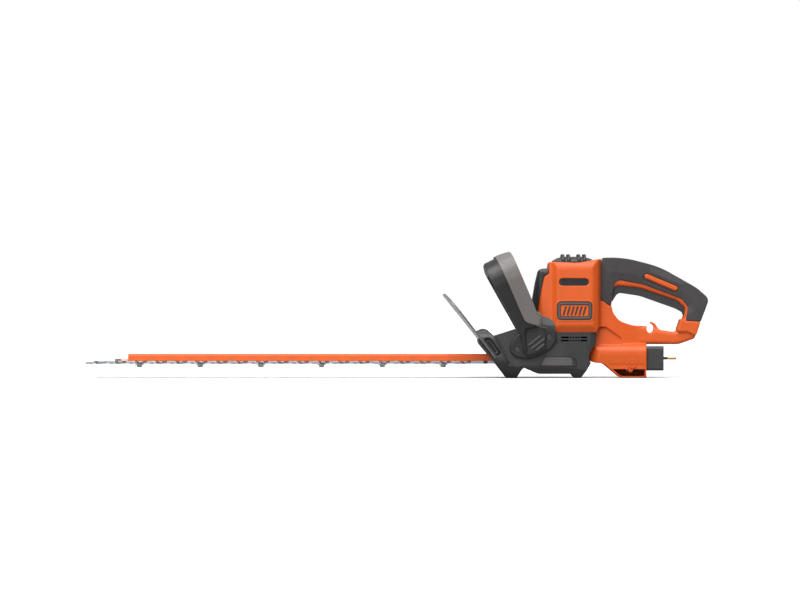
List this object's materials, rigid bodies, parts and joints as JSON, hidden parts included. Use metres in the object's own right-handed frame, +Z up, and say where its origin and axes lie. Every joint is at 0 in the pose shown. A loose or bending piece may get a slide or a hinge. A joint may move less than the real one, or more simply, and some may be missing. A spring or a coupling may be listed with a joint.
{
  "type": "hedge trimmer",
  "caption": "Corded electric hedge trimmer with double-sided twin blades, wrap-around front handle, clear hand guard, rear loop handle and plug inlet.",
  "frame": {"origin": "under the middle of the tool's length, on its centre plane, on the ground it stands on", "axes": "+X along the tool from the blade tips to the rear handle, +Y to the operator's right, +Z up"},
  "size_m": [0.9001, 0.158, 0.1817],
  "materials": {
    "orange_plastic": "satin moulded",
    "grip_rubber": "fine matt texture",
    "dark_plastic": "satin moulded",
    "handle_plastic": "satin moulded",
    "lever_plastic": "satin moulded",
    "label_plastic": "satin",
    "badge_plastic": "satin",
    "clear_smoke": "clear polycarbonate, smoke tint",
    "blade_steel": "ground",
    "bright_steel": "zinc plated",
    "dark_steel": "oiled",
    "bar_alloy": "thin pale coat",
    "copper": "enamelled",
    "pin_brass": "bright",
    "carbon": "sintered",
    "switch_button_plastic": "moulded",
    "lead_insulation": "smooth"
  },
  "bodies": {
    "casing": {"badge_plate_left": "badge_plastic", "badge_plate_right": "badge_plastic", "bar_cover": "orange_plastic", "bearing_holder": "switch_button_plastic", "blade_bolts": "bright_steel", "blade_nuts": "bright_steel", "blade_washers": "bright_steel", "brush_holders": "pin_brass", "carbon_brushes": "carbon", "exhaust_grille_left": "dark_plastic", "exhaust_grille_right": "dark_plastic", "field_coils": "copper", "front_cover": "handle_plastic", "front_switch_body": "dark_plastic", "gear_axle": "bright_steel", "gearbox_base": "dark_steel", "gearbox_cover": "dark_plastic", "grip_cover_left": "grip_rubber", "grip_cover_right": "grip_rubber", "guard_base": "dark_plastic", "hand_guard": "clear_smoke", "handle_bail": "handle_plastic", "handle_screws": "dark_steel", "housing_left": "orange_plastic", "housing_right": "orange_plastic", "housing_screws": "dark_steel", "inlet_block": "dark_plastic", "inlet_pins": "pin_brass", "label_plate_left": "label_plastic", "label_plate_right": "label_plastic", "lever_pivot_pins": "dark_steel", "lower_bearing": "bright_steel", "lower_housing_left": "dark_plastic", "lower_housing_right": "dark_plastic", "pin_sleeves": "dark_plastic", "power_leads": "lead_insulation", "rear_switch_body": "dark_plastic", "side_vent_left": "handle_plastic", "side_vent_right": "handle_plastic", "spring_seat": "switch_button_plastic", "stator_core": "dark_steel", "support_bar": "bar_alloy", "top_vent": "dark_plastic", "trigger_pin": "bright_steel", "trigger_spring": "bright_steel", "upper_bearing": "bright_steel"},
    "upper_blade": {"upper_blade": "blade_steel"},
    "lower_blade": {"lower_blade": "blade_steel"},
    "rotor": {"armature_shaft": "bright_steel", "armature_core": "dark_steel", "armature_windings": "copper", "commutator": "copper", "fan": "dark_plastic"},
    "drive_gear": {"drive_gear": "dark_steel"},
    "front_lever": {"front_switch_lever": "lever_plastic"},
    "front_button": {"front_switch_button": "switch_button_plastic"},
    "trigger": {"trigger": "dark_plastic"},
    "rear_button": {"rear_switch_button": "switch_button_plastic"}
  },
  "joints": [
    {"name": "upper_blade_slide", "type": "slide", "parent": "casing", "child": "upper_blade", "axis": [1, 0, 0], "range_m": [-0.004, 0.004]},
    {"name": "lower_blade_slide", "type": "slide", "parent": "casing", "child": "lower_blade", "axis": [1, 0, 0], "range_m": [-0.004, 0.004]},
    {"name": "rotor_spin", "type": "hinge", "parent": "casing", "child": "rotor", "pos_m": [0.256, 0, 0.09], "axis": [0, 0, 1], "continuous": true},
    {"name": "gear_spin", "type": "hinge", "parent": "casing", "child": "drive_gear", "pos_m": [0.216, 0, 0.037], "axis": [0, 0, 1], "continuous": true},
    {"name": "front_lever_squeeze", "type": "hinge", "parent": "casing", "child": "front_lever", "pos_m": [0.204, 0, 0.062], "axis": [0, -1, 0], "range_deg": [0, 2], "stiffness_Nm_per_rad": 2, "springref_deg": -2.86},
    {"name": "front_button_press", "type": "slide", "parent": "casing", "child": "front_button", "axis": [-0.8949, 0, -0.4462], "range_m": [0, 0.00185]},
    {"name": "trigger_pull", "type": "hinge", "parent": "casing", "child": "trigger", "pos_m": [0.4122, 0, 0.1096], "axis": [0, 1, 0], "range_deg": [0, 3.5], "stiffness_Nm_per_rad": 1, "springref_deg": -5.73, "deforming": ["trigger_spring"]},
    {"name": "rear_button_press", "type": "slide", "parent": "casing", "child": "rear_button", "axis": [0, 0, 1], "range_m": [0, 0.00475]}
  ],
  "couplings": [
    {"joint": "lower_blade_slide", "follows": "upper_blade_slide", "ratio": -1},
    {"joint": "gear_spin", "follows": "rotor_spin", "ratio": -0.23077},
    {"joint": "front_button_press", "follows": "front_lever_squeeze", "m_per_rad": 0.051},
    {"joint": "rear_button_press", "follows": "trigger_pull", "m_per_rad": 0.076}
  ]
}
